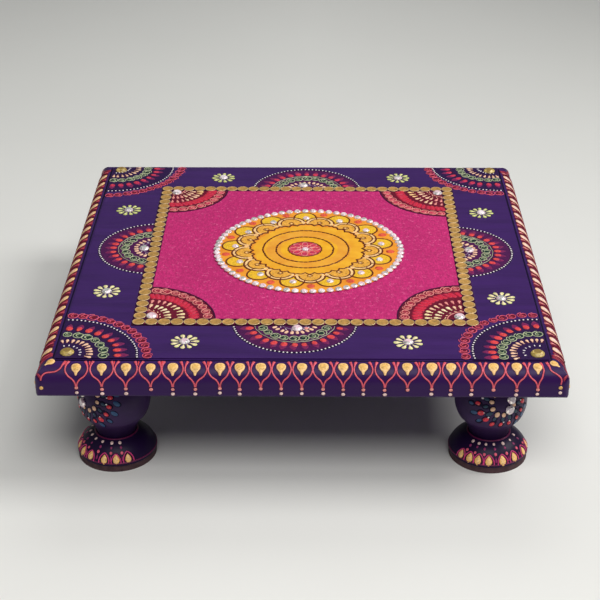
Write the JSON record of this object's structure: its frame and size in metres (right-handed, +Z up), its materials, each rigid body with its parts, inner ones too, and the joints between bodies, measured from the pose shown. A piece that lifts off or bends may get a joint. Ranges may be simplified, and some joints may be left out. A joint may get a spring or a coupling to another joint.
{
  "type": "low table",
  "caption": "Low square table with a moulded board on four turned ball legs, an inlaid panel, a round mandala and set stones.",
  "frame": {"origin": "on the floor, under the middle of the board", "axes": "+Z up, -Y to the front of the table, +X to its right as seen from the front"},
  "size_m": [0.3048, 0.3048, 0.0836],
  "materials": {
    "painted_wood": "deep purple paint, satin",
    "pad_rubber": "matte dark grey",
    "panel_cloth": "magenta, streaked weave, glued flat",
    "mandala_board": "orange yellow enamel",
    "gold_disc": "soft gold",
    "clear_stone": "faceted, silver backed",
    "gold_stone": "faceted, gold backed"
  },
  "bodies": {
    "root": {"top_board": "painted_wood", "turned_legs": "painted_wood", "foot_pads": "pad_rubber", "centre_panel": "panel_cloth", "border_trim": "gold_disc", "mandala_ground": "mandala_board", "ring_stones": "clear_stone", "petal_stones": "clear_stone", "centre_stone": "clear_stone", "corner_stones": "gold_stone", "panel_corner_stones": "clear_stone", "side_stones": "clear_stone", "flower_stones": "clear_stone", "leg_stones": "clear_stone"}
  },
  "joints": []
}
